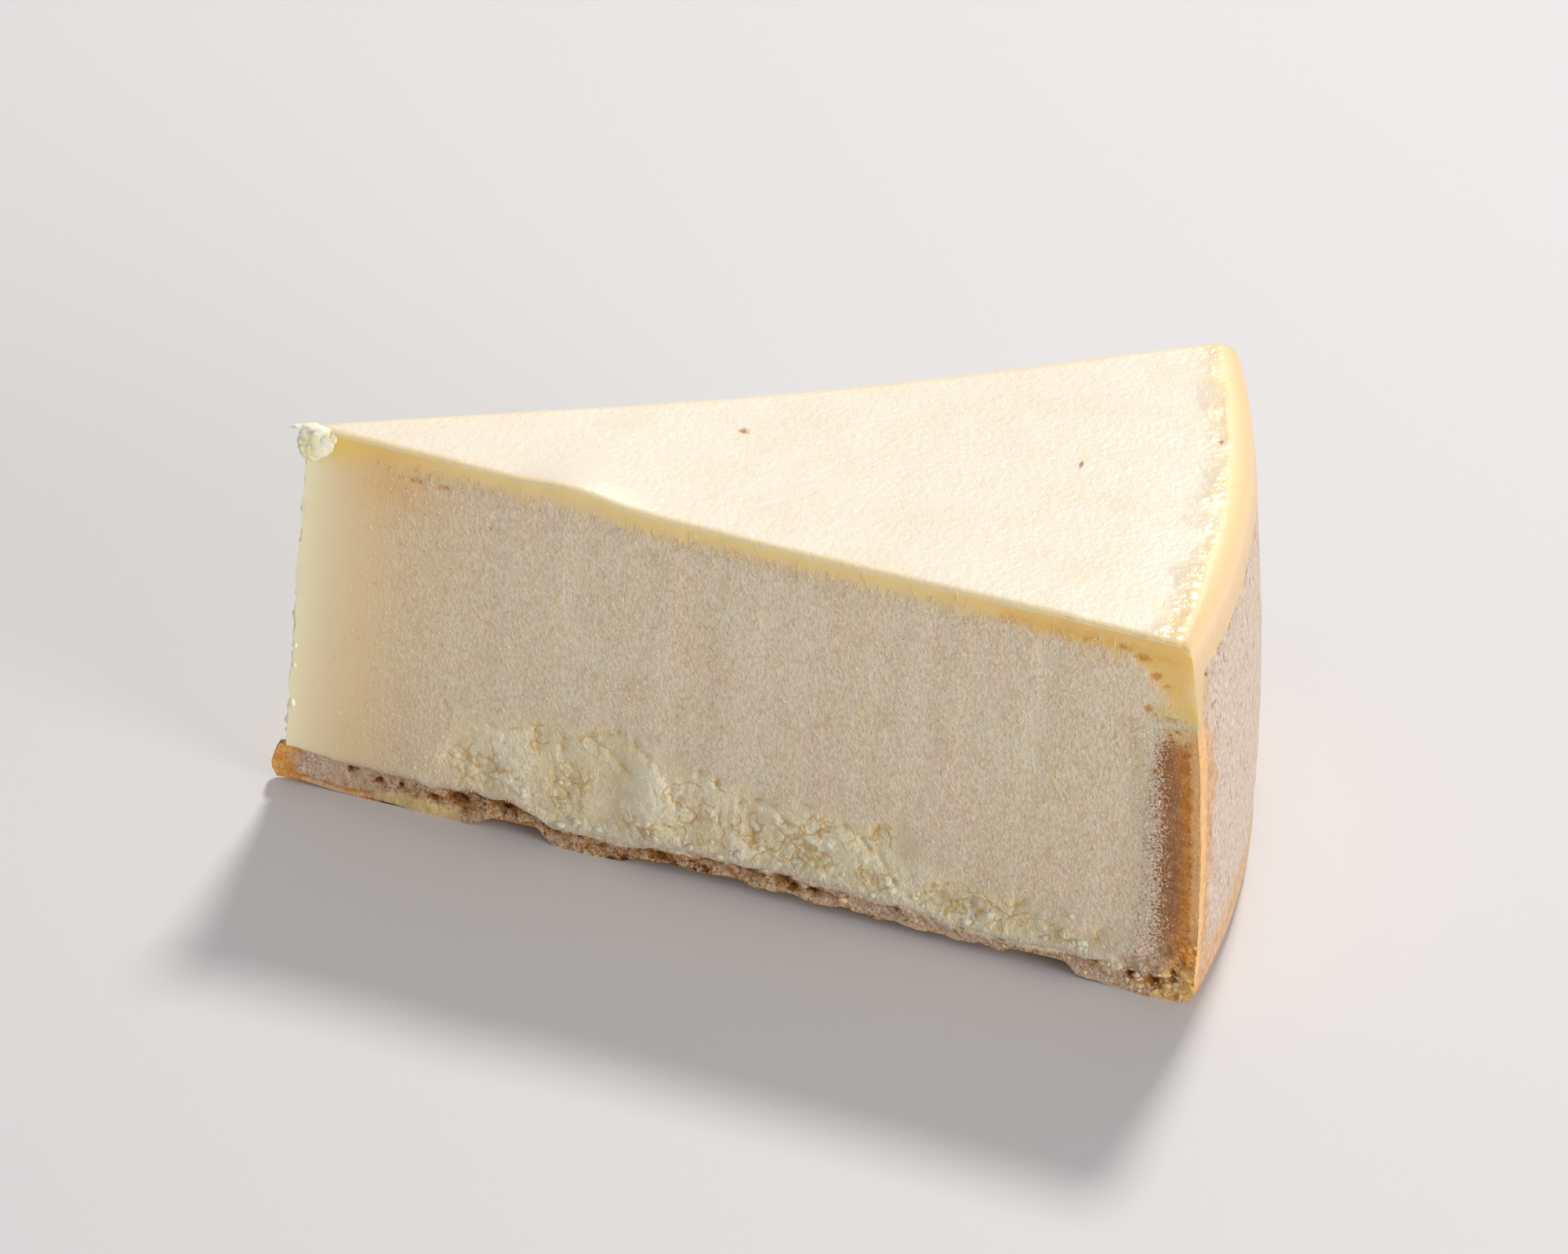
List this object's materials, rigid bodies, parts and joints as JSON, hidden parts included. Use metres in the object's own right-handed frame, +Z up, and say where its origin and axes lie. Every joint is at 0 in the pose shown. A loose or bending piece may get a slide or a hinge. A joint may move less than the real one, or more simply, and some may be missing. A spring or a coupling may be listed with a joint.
{
  "type": "baked cheesecake slice",
  "caption": "Wedge of baked cheesecake: thick pale filling with a smooth top, on a crumb crust that turns up the curved side; one cut face is torn low down.",
  "frame": {"origin": "middle of the slice's underside, under the centre of its bounding box", "axes": "+X from the tip towards the curved side, +Y across the slice from the torn cut face to the other one, +Z up"},
  "size_m": [0.1288, 0.0684, 0.0569],
  "materials": {
    "filling": "soft baked cream cheese, smooth satin top, matt frosted cut faces",
    "crust": "rough baked biscuit crumb under a pale bloom of frost"
  },
  "bodies": {
    "root": {"filling": "filling", "crust": "crust"}
  },
  "joints": []
}
